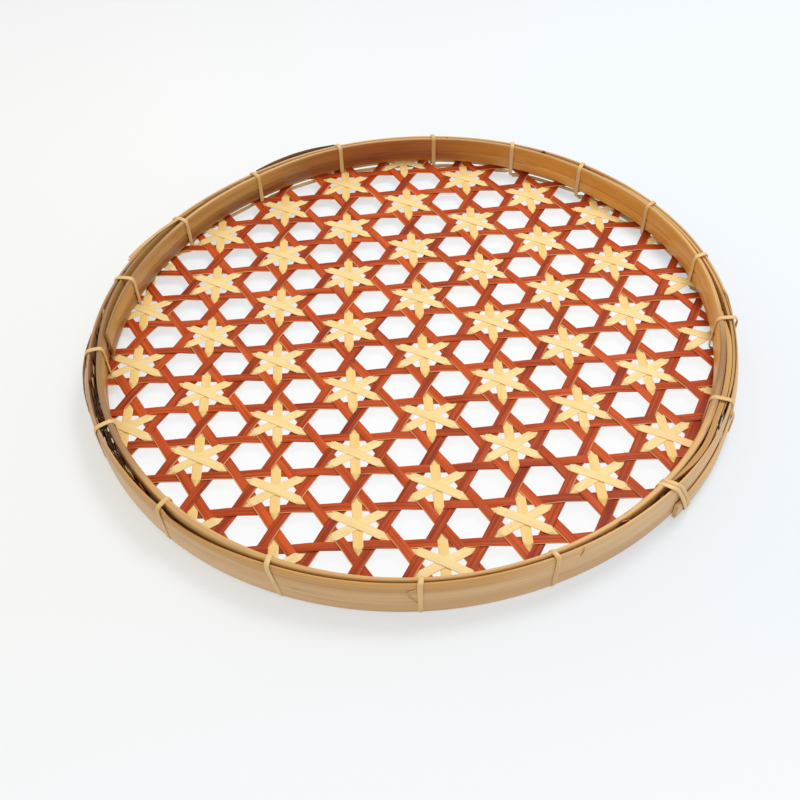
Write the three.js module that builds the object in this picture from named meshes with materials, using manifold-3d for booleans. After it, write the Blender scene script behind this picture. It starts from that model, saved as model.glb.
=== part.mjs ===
// A shallow round tray basket of split bamboo: an open six-pointed-star weave between two hoops.
// Millimetres, +Z up. The origin is the middle of the tray, on the surface that it lies on.
import * as THREE from 'three';
import Module from 'manifold-3d';

// The rim: two bent hoops, one outside the other, with the mat's edge between them
const trayRadius = 200;
const outerHoopHeight = 26.5;
const outerHoopThickness = 2.6;
const innerHoopThickness = 3;
const hoopGap = 6;
const hoopSteps = 60;

// Hoops that are bent by hand stay a little oval; the long axis is turned from +X
const ovalShare = 0.02;
const ovalTurnShare = 0.068;

// The lashing pulls the rim in and out of true: shares of its wander, from +X on round the tray
const rimWander = 2;
const rimWanderShares = [
  -0.9, -0.65, -0.35, 0.3, 0.5, 0.4, 0, -1.05, -0.9, -0.2,
  0.1, 0.5, -0.2, -0.45, -0.45, -0.35, -0.25, 0.1, 0.4, -0.4,
];

// Both hoops are a band that laps over its own start; one goes round to the right, the other to the left
const lapSteps = 8;
const outerStartStep = 60;
const innerStartStep = 23;

// The outer hoop's start is shaved thin, and its end rises over it and is cut lower than the rim
const scarfThickness = 0.9;
const scarfClearance = 0.3;
const lapShoulderShare = 0.3;
const lapRise = 2.6;
const lapDrop = 14.5;

// Along the inner hoop, from its start outside the lap to its end inside: the gap left between
// it and the outer hoop as shares of the widest gap, and its thickness as shares of the full one
const innerGapShares = [
  0.1, 0.1, 0.23, 0.48, 0.42, 0.25, 0.15, 0.1, 0.12, 0.28, 0.68, 1,
  0.85, 0.5, 0.42, 0.43, 0.15, 0.12, 0.13, 0.32, 0.57, 0.98, 1.08, 1.07,
];
const innerThicknessShares = [
  0.3, 0.65, 0.93, 1, 1.07, 1.07, 0.95, 0.77, 0.85, 1.07, 1.1, 1.1,
  1.03, 1.07, 1.07, 1, 0.83, 0.8, 0.83, 0.93, 1, 0.97, 0.7, 0.3,
];

// The mat: dyed strips in three ways and finer natural strips in three ways between them
const weavePitchShare = 0.1315;
const dyedWidth = 6.2;
const dyedThickness = 0.4;
const naturalWidth = 5.2;
const naturalThickness = 0.3;
const weaveClearance = 0.06;
const tuckClearance = 0.15;
const matHeight = 5.4;
const matRise = 0.9;
const seatClearance = 0.3;
const shortestStep = 0.3;

// How far along the small gap beyond a dyed strip a natural strip has gone under
const tuckShare = 0.6;

// Place of one star's centre, in pitches from the middle of the tray
const starPlaceShares = [-1.555, -1.59];

// Lines of strips: the count in each way, and the number of the first line from the star's centre
const dyedCount = 14;
const naturalCount = 8;
const dyedWays = [
  { name: 'dyed_a', turn: 0, first: -5, over: 1, under: 2 },
  { name: 'dyed_b', turn: 1 / 6, first: -8, over: 2, under: 0 },
  { name: 'dyed_c', turn: 1 / 3, first: -9, over: 0, under: 1 },
];
const naturalWays = [
  { name: 'natural_v', turn: 1 / 4, first: -4, layer: 0 },
  { name: 'natural_q', turn: 1 / 12, first: -3, layer: 1 },
  { name: 'natural_p', turn: 5 / 12, first: -5, layer: 2 },
];

// Stars where three natural strips are one piece: numbers of the lines v, q and p
const joinedStars = [[2, 0, 2], [1, 1, 0], [0, 2, -2], [-1, 3, -4], [-2, -3, 1], [-3, -2, -1], [-4, -1, -3]];

// The lashing: one flat strand of cane, wound round the rim at each station on its way round
const lashingWidth = 2.8;
const lashingThickness = 1;
const lashingGap = 0.3;
const lashingBend = 1.1;
const lashingSlant = 1.5;
const lashingLean = 6;
const lashingLead = 9;
const lashingTail = 7;
const lapLead = 4;
const nudgeStep = 0.5;
const nudgeReach = 25;
const nudgeInward = 7;
const gapRows = 10;
const stationTurnShares = [
  0.8622, 0.9286, 0.9833, 0.0314, 0.0814, 0.1333, 0.1786, 0.2286, 0.2883,
  0.3453, 0.4056, 0.4606, 0.5133, 0.5667, 0.625, 0.6833, 0.7444, 0.8,
];

// The first station has two turns side by side, which slant over the rim and lean down outside it
const pairSpacing = 3.5;
const pairSlant = 7;
const pairLean = 12;

// Two splints that fill the rim's gap at the right, where it is widest; the second is the outer one
const splintHeight = 6;
const splintThickness = 1.6;
const splintClearance = 0.45;
const splintDrop = 0.8;
const splintFirstSteps = [-6, -5];
const splintLastSteps = [-1, 7];

// Sections of the bands, as shares of thickness (from the side nearer the middle) and of height
const outerHoopShares = [[0, 0], [0.75, 0], [0.95, 0.05], [1, 0.5], [0.93, 0.93], [0.6, 1], [0.12, 1], [0, 0.95]];
const innerHoopShares = [
  [1, 0], [1, 0.97], [0.8, 1], [0.25, 1], [0, 0.86], [0, 0.5], [0.28, 0.42], [0.05, 0.34], [0.15, 0],
];
const stripShares = [[0, 0], [1, 0], [1, 1], [0, 1]];

// Levels and radii that follow from the sizes
const rimFoot = lashingThickness + lashingGap;
const rimTop = rimFoot + outerHoopHeight;
const gapOuterRadius = trayRadius - outerHoopThickness;
const gapInnerRadius = gapOuterRadius - hoopGap;
const facetSag = trayRadius * (1 - Math.cos(Math.PI / hoopSteps));
const stepTurn = 1 / hoopSteps;
const tableSteps = hoopSteps / rimWanderShares.length;

// Heights over the mat's middle plane that let strips cross with the clearance and no more
const root3 = Math.sqrt(3);
const weavePitch = trayRadius * weavePitchShare;
const crossingPitch = weavePitch / root3;
const dyedCrest = (dyedThickness + weaveClearance) / 2 / (1 - root3 * dyedWidth / crossingPitch);
const halfStrips = (dyedThickness + naturalThickness) / 2 + weaveClearance;
const naturalCrest = halfStrips + dyedCrest * naturalWidth / crossingPitch;
const naturalTuck = halfStrips + (dyedThickness + weaveClearance) / 2;
const naturalDip = halfStrips + dyedCrest * (1 + naturalWidth / weavePitch);
const crestReach = (weavePitch + dyedWidth) / 2 + weaveClearance;
const notchReach = weavePitch - dyedWidth;
const tuckReach = crestReach + tuckShare * (notchReach - crestReach);
const crestHalfWidth = Math.min((notchReach - crestReach) / root3 - tuckClearance, naturalWidth / 2);
const tuckHalfWidth = (notchReach - tuckReach) / root3 - tuckClearance;
const layerRise = (naturalThickness + weaveClearance) / (1 - naturalWidth * root3 / 2 / crestReach);
const matTop = naturalCrest + 2 * layerRise + naturalThickness / 2;

function radians(turn) {
  return turn * 2 * Math.PI;
}

// A value between a table's entries, on a smooth curve through them
function between(a, b, c, d, t) {
  return b + t * (c - a + t * (2 * a - 5 * b + 4 * c - d + t * (3 * (b - c) + d - a))) / 2;
}

function alongBand(shares, step) {
  const place = step / tableSteps;
  const first = Math.floor(place);
  const entries = [-1, 0, 1, 2].map((k) => shares[THREE.MathUtils.clamp(first + k, 0, shares.length - 1)]);
  return between(...entries, place - first);
}

function roundRim(shares, angle) {
  const place = THREE.MathUtils.euclideanModulo(angle / radians(1), 1) * shares.length;
  const first = Math.floor(place);
  const entries = [-1, 0, 1, 2].map((k) => shares[(first + k + shares.length) % shares.length]);
  return between(...entries, place - first);
}

// How far the rim lies outside a true circle
function rimOffset(angle) {
  const oval = trayRadius * ovalShare * Math.cos(2 * (angle - radians(ovalTurnShare)));
  return oval + rimWander * roundRim(rimWanderShares, angle);
}

function rimPoint(angle, radius, z) {
  const reach = radius + rimOffset(angle);
  return new THREE.Vector3(reach * Math.cos(angle), reach * Math.sin(angle), z);
}

function matLevel(x, y) {
  return matHeight + matRise * (x * x + y * y) / (gapInnerRadius * gapInnerRadius);
}

// A closed solid through a row of sections that all have the points of one outline
function loft(sections, outline) {
  const count = outline.length;
  const last = (sections.length - 1) * count;
  const caps = THREE.ShapeUtils.triangulateShape(outline.map(([u, v]) => new THREE.Vector2(u, v)), []);
  const index = [];
  for (let i = 0; i < last; i += count) {
    for (let j = 0; j < count; j++) {
      const a = i + j;
      const b = i + (j + 1) % count;
      index.push(a, b, b + count, a, b + count, a + count);
    }
  }
  for (const [a, b, c] of caps) {
    index.push(a, c, b, last + a, last + b, last + c);
  }
  const points = sections.flat();
  let volume = 0;
  for (let i = 0; i < index.length; i += 3) {
    const [p, q, r] = index.slice(i, i + 3).map((k) => points[k]);
    volume += p.dot(new THREE.Vector3().crossVectors(q, r));
  }
  if (volume < 0) {
    index.reverse();
  }
  const geometry = new THREE.BufferGeometry();
  geometry.setAttribute('position', new THREE.Float32BufferAttribute(points.flatMap((p) => p.toArray()), 3));
  geometry.setIndex(index);
  geometry.computeVertexNormals();
  return geometry;
}

// Bands: hoops and splints share the same ring of steps, so their facets stay parallel
function bandSection(step, inner, outer, foot, top, outline) {
  const angle = radians(step * stepTurn);
  return outline.map(([u, v]) => rimPoint(angle, inner + u * (outer - inner), foot + v * (top - foot)));
}

// The outer hoop's faces and top, so many steps from its start
function outerFaces(step) {
  const lapped = (step - hoopSteps) / lapSteps;
  const single = scarfThickness + Math.min(step / lapSteps, 1) * (outerHoopThickness - scarfThickness);
  if (lapped < 0) {
    return { inner: gapOuterRadius, outer: gapOuterRadius + single, top: rimTop };
  }
  const under = scarfThickness + lapped * (outerHoopThickness - scarfThickness);
  return {
    inner: gapOuterRadius + under + scarfClearance,
    outer: trayRadius + lapped * (lapRise + scarfClearance),
    top: rimTop - lapDrop * lapped * (2 - lapped),
  };
}

// The inner hoop's faces, so many steps from its start
function innerFaces(step) {
  const outer = gapOuterRadius - hoopGap * alongBand(innerGapShares, step);
  return { inner: outer - innerHoopThickness * alongBand(innerThicknessShares, step), outer, top: rimTop };
}

// A hoop's layers at an angle: one, or two where it laps
function layersAt(faces, startStep, direction, angle) {
  const steps = direction * (angle / radians(stepTurn) - startStep);
  const first = THREE.MathUtils.euclideanModulo(steps, hoopSteps);
  return [first, first + hoopSteps].filter((step) => step <= hoopSteps + lapSteps).map(faces);
}

// A hoop once round from its start and on over it
function hoop(faces, startStep, direction, foot, outline) {
  const steps = Array.from({ length: hoopSteps + lapSteps + 1 }, (_, i) => i);
  steps.splice(hoopSteps, 0, hoopSteps - lapShoulderShare);
  return loft(steps.map((step) => {
    const { inner, outer, top } = faces(step);
    return bandSection(startStep + direction * step, inner, outer, foot, top, outline);
  }), outline);
}

// Straight strips: x runs along the way, offset across it to the left
function wayFrame(way) {
  const angle = radians(way.turn);
  return {
    along: new THREE.Vector2(Math.cos(angle), Math.sin(angle)),
    across: new THREE.Vector2(-Math.sin(angle), Math.cos(angle)),
  };
}

const starCentre = new THREE.Vector2(...starPlaceShares).multiplyScalar(weavePitch);

function dyedOffset(way, line) {
  return wayFrame(way).across.dot(starCentre) + (line + 1 / 2) * weavePitch;
}

function naturalOffset(way, line) {
  return wayFrame(way).across.dot(starCentre) + line * root3 * weavePitch;
}

// How far a strip's edge runs before it meets the outer hoop's inner wall
function edgeReach(way, offset, direction) {
  const { along, across } = wayFrame(way);
  let x = 0;
  for (let i = 0; i < dyedCount; i++) {
    const angle = Math.atan2(along.y * x + across.y * offset, along.x * x + across.x * offset);
    const wall = gapOuterRadius + rimOffset(angle) - facetSag - seatClearance;
    x = direction * Math.sqrt(Math.max(wall * wall - offset * offset, 0));
  }
  return x;
}

function stripEnd(way, offset, halfWidth, direction) {
  const reaches = [offset - halfWidth, offset + halfWidth].map((edge) => edgeReach(way, edge, direction));
  return direction * Math.min(...reaches.map(Math.abs));
}

// Stations along a strip carry its height over the mat and its half width; between them it runs straight
function stationAt(stations, x) {
  const next = Math.max(stations.findIndex((s) => s.x >= x), 1);
  const a = stations[next - 1];
  const b = stations[next];
  const t = (x - a.x) / (b.x - a.x);
  return { x, z: a.z + t * (b.z - a.z), half: a.half + t * (b.half - a.half) };
}

function strip(way, offset, stations, halfWidth, thickness) {
  const { along, across } = wayFrame(way);
  const ends = [-1, 1].map((direction) => stripEnd(way, offset, halfWidth, direction));
  const inside = stations.filter((s) => s.x > ends[0] + shortestStep && s.x < ends[1] - shortestStep);
  const sections = [stationAt(stations, ends[0]), ...inside, stationAt(stations, ends[1])].map((s) =>
    stripShares.map(([u, v]) => {
      const side = offset + (2 * u - 1) * s.half;
      const x = along.x * s.x + across.x * side;
      const y = along.y * s.x + across.y * side;
      return new THREE.Vector3(x, y, matLevel(x, y) + s.z + (v - 1 / 2) * thickness);
    }));
  return loft(sections, stripShares);
}

// A dyed strip is on top where it crosses one of the other ways and below where it crosses the other
function dyedStations(way, offset) {
  const { along, across } = wayFrame(way);
  const stations = [];
  for (const [other, z] of [[dyedWays[way.over], dyedCrest], [dyedWays[way.under], -dyedCrest]]) {
    const turned = wayFrame(other).across;
    for (let line = other.first - dyedCount; line < other.first + 2 * dyedCount; line++) {
      const x = (dyedOffset(other, line) - offset * turned.dot(across)) / turned.dot(along);
      stations.push({ x, z, half: dyedWidth / 2 });
    }
  }
  return stations.sort((a, b) => a.x - b.x);
}

// A natural strip lies over the dyed strips round each star and tucks under the crossing beyond them
function naturalStations(way, line) {
  const start = wayFrame(way).along.dot(starCentre) + line * weavePitch;
  const half = naturalWidth / 2;
  const stations = [];
  const first = -Math.abs(line) - naturalCount;
  for (let star = first; star <= -first; star++) {
    const x = start + 2 * star * weavePitch;
    const joined = joinedStars.some((lines) => lines[way.layer] === line && isStar(way, line, x, lines));
    const rise = joined ? way.layer * naturalThickness / 2 : way.layer * layerRise;
    stations.push(
      { x: x - weavePitch, z: -naturalDip, half },
      { x: x - tuckReach, z: -naturalTuck, half: tuckHalfWidth },
      { x: x - crestReach, z: naturalCrest, half: crestHalfWidth },
      { x, z: naturalCrest + rise, half },
      { x: x + crestReach, z: naturalCrest, half: crestHalfWidth },
      { x: x + tuckReach, z: -naturalTuck, half: tuckHalfWidth },
    );
  }
  return stations;
}

// Whether the point x along a natural line is where the lines of a joined star meet
function isStar(way, line, x, lines) {
  const { along, across } = wayFrame(way);
  const point = along.clone().multiplyScalar(x).addScaledVector(across, naturalOffset(way, line));
  return naturalWays.every((other) => {
    const away = wayFrame(other).across.dot(point) - naturalOffset(other, lines[other.layer]);
    return Math.abs(away) < weavePitch / 2;
  });
}

function naturalStrip(way, line) {
  return strip(way, naturalOffset(way, line), naturalStations(way, line), naturalWidth / 2, naturalThickness);
}

// Join strips that cross at one star into one solid
const wasm = await Module();
wasm.setup();

function toManifold(geometry) {
  return new wasm.Manifold(new wasm.Mesh({
    numProp: 3,
    vertProperties: new Float32Array(geometry.attributes.position.array),
    triVerts: new Uint32Array(geometry.index.array),
  }));
}

function join(geometries) {
  const mesh = geometries.map(toManifold).reduce((a, b) => a.add(b)).getMesh();
  const geometry = new THREE.BufferGeometry();
  geometry.setAttribute('position', new THREE.Float32BufferAttribute(mesh.vertProperties, 3));
  geometry.setIndex(Array.from(mesh.triVerts));
  geometry.computeVertexNormals();
  return geometry;
}

// Every strip's edges, so that the lashing can find its way down through the mat
const matLines = [
  ...dyedWays.flatMap((way) => Array.from({ length: dyedCount }, (_, i) => (
    { across: wayFrame(way).across, offset: dyedOffset(way, way.first + i), half: dyedWidth / 2 }))),
  ...naturalWays.flatMap((way) => Array.from({ length: naturalCount }, (_, i) => (
    { across: wayFrame(way).across, offset: naturalOffset(way, way.first + i), half: naturalWidth / 2 }))),
];

const lashingRun = gapOuterRadius - facetSag - lashingGap - lashingThickness / 2;
const lashingTop = rimTop + lashingGap + lashingThickness / 2;
const lashingFoot = lashingThickness / 2;
const runLevel = rimFoot + lashingGap + lashingWidth / 2;

// The inner hoop's foot stands just over the mat where the mat is highest under it
const innerHoopReach = Math.max(...Array.from({ length: hoopSteps }, (_, step) => (
  innerFaces(step).outer + rimOffset(radians((innerStartStep + step) * stepTurn)))));
const innerHoopFoot = matLevel(innerHoopReach, 0) + matTop + seatClearance;

// Where a strand stands against a hoop at an angle, clear of the hoop for its whole width
function nearby(angle) {
  return [-1, 0, 1].map((side) => angle + side * lashingWidth / trayRadius);
}

function insideReach(angle) {
  const layers = nearby(angle).flatMap((a) => layersAt(innerFaces, innerStartStep, 1, a));
  return Math.min(...layers.map(({ inner }) => inner)) - facetSag - lashingGap - lashingThickness / 2;
}

function outsideReach(angle, z) {
  const layers = nearby(angle).flatMap((a) => layersAt(outerFaces, outerStartStep, -1, a));
  const beside = layers.filter(({ top }) => top > z).map(({ outer }) => outer);
  return Math.max(...beside) + lashingGap + lashingThickness / 2;
}

// Room between a group of strands that stand at one place and the nearest strip
function roomAt(angle, radius, halfSpread) {
  const corners = [];
  for (const side of [-1, 1]) {
    for (const depth of [-1, 1]) {
      const reach = radius + depth * lashingThickness / 2;
      corners.push(rimPoint(angle + side * halfSpread / reach, reach, 0));
    }
  }
  return Math.min(...matLines.map(({ across, offset, half }) => {
    const away = corners.map((c) => across.x * c.x + across.y * c.y - offset);
    const crossed = Math.max(...away) > 0 && Math.min(...away) < 0;
    return crossed ? -half : Math.min(...away.map(Math.abs)) - half;
  }));
}

// The place nearest to a station's foot at which the strand passes clear through the mat
function clearPlace(turn, halfSpread) {
  const places = [];
  for (let along = -nudgeReach; along <= nudgeReach; along += nudgeStep) {
    for (let inward = 0; inward <= nudgeInward; inward += nudgeStep) {
      const angle = radians(turn) + along / gapInnerRadius;
      places.push({ angle, radius: insideReach(angle) - inward, away: Math.hypot(along, inward) });
    }
  }
  places.sort((a, b) => a.away - b.away);
  const rooms = places.map(({ angle, radius }) => roomAt(angle, radius, halfSpread));
  const clear = rooms.findIndex((room) => room > seatClearance);
  return places[clear < 0 ? rooms.indexOf(Math.max(...rooms)) : clear];
}

// A turn of the strand: where it passes the mat, crosses the rim's top, and comes down outside
function makeTie(turn, shift, halfSpread, slant, lean) {
  const { angle, radius } = clearPlace(turn, halfSpread);
  const most = lashingLean / gapInnerRadius;
  const over = THREE.MathUtils.clamp(radians(turn), angle - most, angle + most);
  const turned = shift + slant;
  return {
    through: angle + shift / gapInnerRadius,
    passing: radius,
    over: over + shift / gapInnerRadius,
    outside: over + turned / trayRadius,
    foot: over + (turned + lean) / trayRadius,
  };
}

// Points of the strand: place, and how far its width is turned from upright to level
function runPoint(angle, radius, z, level) {
  return { angle, radius, z, level };
}

function turnPoints(tie) {
  const inside = insideReach(tie.over);
  const low = outsideReach(tie.foot, rimFoot);
  const ledge = Math.min(...layersAt(outerFaces, outerStartStep, -1, tie.foot).map(({ top }) => top));
  const stepsOut = ledge + lapLead < lashingTop - lashingBend;
  const outside = stepsOut ? outsideReach(tie.outside, ledge + lapLead) : low;
  return [
    runPoint(tie.through, tie.passing + lashingBend / 2, runLevel - lashingBend / 2, 1),
    runPoint(tie.through, tie.passing, runLevel + lashingBend / 2, 1),
    runPoint(tie.through, tie.passing, innerHoopFoot, 1),
    runPoint(tie.over, inside, lashingTop - lashingBend, 1),
    runPoint(tie.over, inside + lashingBend, lashingTop, 1),
    runPoint(tie.outside, outside - lashingBend, lashingTop, 1),
    runPoint(tie.outside, outside, lashingTop - lashingBend, 1),
    ...(stepsOut ? stepPoints(tie, outside, low, ledge) : []),
    runPoint(tie.foot, low, lashingFoot + lashingBend, 1),
    runPoint(tie.foot, low - lashingBend, lashingFoot, 1),
    runPoint(tie.foot, lashingRun, lashingFoot, 1),
  ];
}

// On its way down, the strand steps out over the outer hoop's end, which stands proud and lower
function stepPoints(tie, outside, low, ledge) {
  const share = (rimTop - ledge) / rimTop;
  const angle = tie.outside + share * (tie.foot - tie.outside);
  return [
    runPoint(angle, outside, ledge + lapLead, 1),
    runPoint(angle, low, ledge + lashingGap, 1),
  ];
}

function leadIn(tie) {
  return [
    runPoint(tie.through - lashingLead / lashingRun, lashingRun, runLevel, 0),
    runPoint(tie.through - lashingLead / 3 / lashingRun, (lashingRun + tie.passing) / 2, runLevel, 1 / 2),
  ];
}

function leadOut(tie) {
  return [
    runPoint(tie.foot + lashingLead / 2 / lashingRun, lashingRun, (lashingFoot + runLevel) / 2, 1 / 2),
    runPoint(tie.foot + lashingLead / lashingRun, lashingRun, runLevel, 0),
  ];
}

function lashing() {
  const pairHalf = (lashingWidth + pairSpacing) / 2;
  const [pairTurn, ...turns] = stationTurnShares;
  const ties = [makeTie(pairTurn, pairSpacing / 2, pairHalf, pairSlant, pairLean)];
  for (const turn of turns) {
    const onward = turn > pairTurn ? turn : turn + 1;
    ties.push(makeTie(onward, 0, lashingWidth / 2, lashingSlant, 0));
  }
  ties.push(makeTie(pairTurn + 1, -pairSpacing / 2, pairHalf, pairSlant, pairLean));
  const last = ties.at(-1);
  const points = [runPoint(ties[0].through, ties[0].passing - lashingTail, runLevel, 1)];
  ties.forEach((tie, i) => {
    if (i > 0) {
      points.push(...leadOut(ties[i - 1]), ...leadIn(tie));
    }
    points.push(...turnPoints(tie));
  });
  points.push(runPoint(last.foot, gapOuterRadius - lashingTail, lashingFoot, 1));
  return strand(points);
}

// A flat strand through points, its width square to its run
function strand(points) {
  const places = points.map((p) => rimPoint(p.angle, p.radius, p.z));
  const sections = places.map((place, i) => {
    const before = places[Math.max(i - 1, 0)];
    const after = places[Math.min(i + 1, places.length - 1)];
    const into = place.clone().sub(before);
    const out = after.clone().sub(place);
    const { angle, level } = points[i];
    const tangent = new THREE.Vector3(-Math.sin(angle), Math.cos(angle), 0);
    if (level === 1) {
      into.addScaledVector(tangent, -into.dot(tangent));
      out.addScaledVector(tangent, -out.dot(tangent));
    }
    into.normalize();
    out.normalize();
    const mitre = Math.sqrt((1 + (i > 0 && i < places.length - 1 ? into.dot(out) : 1)) / 2);
    const run = into.clone().add(out).normalize();
    const width = tangent.clone().multiplyScalar(level).add(new THREE.Vector3(0, 0, 1 - level));
    width.addScaledVector(run, -run.dot(width)).normalize();
    const depth = new THREE.Vector3().crossVectors(run, width).divideScalar(mitre);
    return stripShares.map(([u, v]) => place.clone()
      .addScaledVector(width, (u - 1 / 2) * lashingWidth)
      .addScaledVector(depth, (v - 1 / 2) * lashingThickness));
  });
  console.log(`least gap of the lashing to itself: ${leastGap(sections).toFixed(2)} mm`);
  return loft(sections, stripShares);
}

// Least distance between the corners of sections, and the points halfway, that are not neighbours on the run
function leastGap(sections) {
  const rows = sections.slice(1).flatMap((section, i) => [
    section.map((corner, j) => corner.clone().add(sections[i][j]).divideScalar(2)),
    section,
  ]);
  let least = trayRadius;
  rows.forEach((row, i) => {
    for (const other of rows.slice(i + gapRows)) {
      if (row[0].distanceTo(other[0]) < least + 2 * lashingWidth) {
        least = Math.min(least, ...row.flatMap((p) => other.map((q) => p.distanceTo(q))));
      }
    }
  });
  return least;
}

// The two splints stand side by side in the gap, just under the rim's top
function splint(index) {
  const places = splintFirstSteps.length - index;
  const inner = gapOuterRadius - places * (splintThickness + splintClearance);
  const top = rimTop - splintDrop;
  const sections = [];
  for (let step = splintFirstSteps[index]; step <= splintLastSteps[index]; step++) {
    sections.push(bandSection(step, inner, inner + splintThickness, top - splintHeight, top, stripShares));
  }
  return loft(sections, stripShares);
}

// Colour and roughness of each kind of piece
const looks = {
  outerHoop: { color: 0xc8a064, roughness: 0.5 },
  innerHoop: { color: 0xbe7828, roughness: 0.45 },
  splints: [{ color: 0xb98a4c, roughness: 0.6 }, { color: 0xa87a44, roughness: 0.6 }],
  lashing: { color: 0xe1be82, roughness: 0.55 },
  dyed: [{ color: 0xb4401c, roughness: 0.4 }, { color: 0xa0341c, roughness: 0.4 }, { color: 0xc24a1e, roughness: 0.4 }],
  natural: { color: 0xf6da94, roughness: 0.5 },
};

const group = new THREE.Group();

function addPiece(name, geometry, look) {
  const mesh = new THREE.Mesh(geometry, new THREE.MeshStandardMaterial({ ...look, metalness: 0 }));
  mesh.name = name;
  group.add(mesh);
}

addPiece('outer_hoop', hoop(outerFaces, outerStartStep, -1, rimFoot, outerHoopShares), looks.outerHoop);
addPiece('inner_hoop', hoop(innerFaces, innerStartStep, 1, innerHoopFoot, innerHoopShares), looks.innerHoop);
looks.splints.forEach((look, i) => addPiece(`rim_splint_${i + 1}`, splint(i), look));
addPiece('lashing', lashing(), looks.lashing);

dyedWays.forEach((way, i) => {
  for (let line = 0; line < dyedCount; line++) {
    const offset = dyedOffset(way, way.first + line);
    const geometry = strip(way, offset, dyedStations(way, offset), dyedWidth / 2, dyedThickness);
    addPiece(`${way.name}_${String(line + 1).padStart(2, '0')}`, geometry, looks.dyed[i]);
  }
});

joinedStars.forEach((lines, i) => {
  const strips = naturalWays.map((way) => naturalStrip(way, lines[way.layer]));
  addPiece(`natural_star_${i + 1}`, join(strips), looks.natural);
});
naturalWays.forEach((way) => {
  for (let line = way.first; line < way.first + naturalCount; line++) {
    if (!joinedStars.some((lines) => lines[way.layer] === line)) {
      addPiece(`${way.name}_strip`, naturalStrip(way, line), looks.natural);
    }
  }
});

// The middle of the whole tray, its lashing's turns included, is the origin
const whole = new THREE.Box3().setFromObject(group);
const middle = whole.getCenter(new THREE.Vector3());
for (const piece of group.children) {
  piece.geometry.translate(-middle.x, -middle.y, -whole.min.z);
}

export default group;
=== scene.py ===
# A shallow round tray of split bamboo: an open star weave between two hoops that are lashed together.
# Metres, +Z up, in the frame of the solids, with the tray lying on its foot at z = 0.
import math
import random

import bpy
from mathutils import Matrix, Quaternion, Vector


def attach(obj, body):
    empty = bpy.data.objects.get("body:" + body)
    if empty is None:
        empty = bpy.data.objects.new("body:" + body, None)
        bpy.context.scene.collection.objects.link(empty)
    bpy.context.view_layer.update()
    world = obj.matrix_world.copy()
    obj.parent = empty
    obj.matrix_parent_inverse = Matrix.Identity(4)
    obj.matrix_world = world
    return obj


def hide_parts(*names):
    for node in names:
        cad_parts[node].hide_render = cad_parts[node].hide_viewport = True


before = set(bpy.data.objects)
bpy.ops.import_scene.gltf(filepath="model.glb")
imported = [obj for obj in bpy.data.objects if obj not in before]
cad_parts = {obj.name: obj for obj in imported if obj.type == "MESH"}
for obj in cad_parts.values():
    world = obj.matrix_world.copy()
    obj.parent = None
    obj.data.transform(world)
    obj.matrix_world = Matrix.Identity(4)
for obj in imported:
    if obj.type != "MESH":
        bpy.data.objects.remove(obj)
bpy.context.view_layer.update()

# Dyed weaving strips
# Split bamboo, shaved thin and dyed red-orange, in three ways that cross at sixty degrees.
# Each strip passes over one way and under the other, and its ends are turned up between the hoops.
mm = 0.001
full_turn = 2 * math.pi
root3 = math.sqrt(3)
sharp_turn = math.radians(50)
weave_pitch = 26.3 * mm
crossing_pitch = weave_pitch / root3
dyed_width = 5.8 * mm
dyed_thickness = 0.34 * mm
dyed_crest = 0.38 * mm
dyed_edge_round = 0.12 * mm
dyed_step = 1.2 * mm
dyed_count = 14
dyed_ways = [
    {"name": "dyed_a", "turn": 0, "first": -5, "over": 1, "hue": 0.45, "worn side": -1},
    {"name": "dyed_b", "turn": 1 / 6, "first": -8, "over": 2, "hue": 0.15, "worn side": -1},
    {"name": "dyed_c", "turn": 1 / 3, "first": -9, "over": 0, "hue": 0.75, "worn side": 1},
]
star_place = Vector((-1.555, -1.59)) * weave_pitch

# The rim is a little oval, and wanders where the lashing pulls it: millimetres, from +X on round the tray
rim_middle = Vector((1.477, -0.472)) * mm
tray_radius = 200 * mm
gap_outer_radius = 197.4 * mm
oval = 4 * mm
oval_turn = 0.068
rim_wander = [
    -1.8, -1.3, -0.7, 0.6, 1, 0.8, 0, -2.1, -1.8, -0.4,
    0.2, 1, -0.4, -0.9, -0.9, -0.7, -0.5, 0.2, 0.8, -0.8,
]

# How far the outer hoop's top dips and its foot stands off the table: millimetres, from +X on round the tray
outer_dips = [0, 0, 0, 0, 0, 0, 0, 0, 0, 0, 0, 0.2, 0.3, 0.6, 0.6, 0.4, 0.5, 0.5, 0, 0]
foot_lifts = [0, 0.6, 1.8, 3, 3.6, 3.6, 3.4, 2.8, 1.4, 0.4, 0, 0, 0, 0, 0, 0, 0, 0, 0, 0]

# The gap between the hoops along the inner one, every eighteen degrees from its start at the back left
inner_start = math.radians(138)
inner_gaps = [
    0.6, 0.6, 1.8, 4.4, 4.2, 1.8, 0.9, 0.6, 0.6, 1.68, 4.2, 5.8,
    5, 3, 2.52, 2.58, 0.9, 0.72, 0.78, 1.92, 3.42, 5.88, 6.9, 7.2,
]

# The mat lies slightly dished, and its edge is turned up through the gap and cut off below the rim's top
dish_radius = 191.4 * mm
mat_height = 5.4 * mm
mat_rise = 0.9 * mm
bend_radius = 2.2 * mm
wall_clearance = 0.15 * mm
below_mat = 1.1 * mm
above_mat = 1.65 * mm
press_length = 3 * mm
end_height = 24.5 * mm
low_end_height = 20 * mm
low_end_ranges = [(-50, 44), (-142, -110)]
end_spread = 1.4 * mm

# The maker's pull: toward the back at the front left, and a little to the right or left round two places
front_left_way = Vector((-0.75, -0.66))
front_left_range = (60 * mm, 155 * mm)
front_left_pull = 4.2 * mm
side_pull_reach = 80 * mm
side_pulls = [(Vector((-70, 0)) * mm, -1.9 * mm), (Vector((50, 20)) * mm, 1.2 * mm)]


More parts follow.
